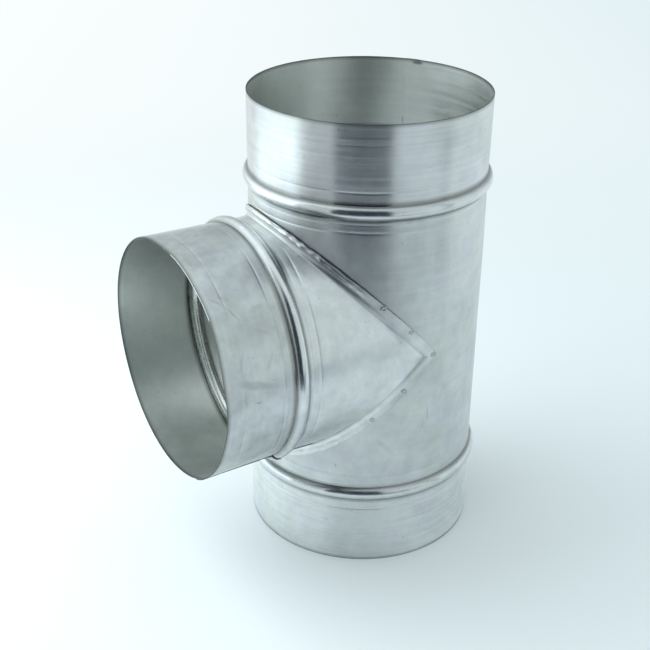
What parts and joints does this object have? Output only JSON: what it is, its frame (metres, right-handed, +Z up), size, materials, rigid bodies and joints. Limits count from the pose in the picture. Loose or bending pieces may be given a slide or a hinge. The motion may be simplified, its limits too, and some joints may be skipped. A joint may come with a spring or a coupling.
{
  "type": "pipe tee",
  "caption": "Equal 90 degree round duct tee in galvanised sheet: rolled run barrel and mitred branch barrel with a lapped flange, beads and plain collars.",
  "frame": {"origin": "middle of the base of the bounding box, in the plane of the lower rim that the tee stands on; the axis of the run is 25.95 mm along +X from it", "axes": "+Z up along the run; the branch points along -X, with its axis 123.2 mm above the lower rim; +Y across both"},
  "size_m": [0.1818, 0.1298, 0.2464],
  "materials": {
    "run_sheet": "bright galvanised sheet with fine rolling scratches",
    "branch_sheet": "bright galvanised sheet with fine rolling scratches"
  },
  "bodies": {
    "root": {"run_barrel": "run_sheet", "branch_barrel": "branch_sheet"}
  },
  "joints": []
}
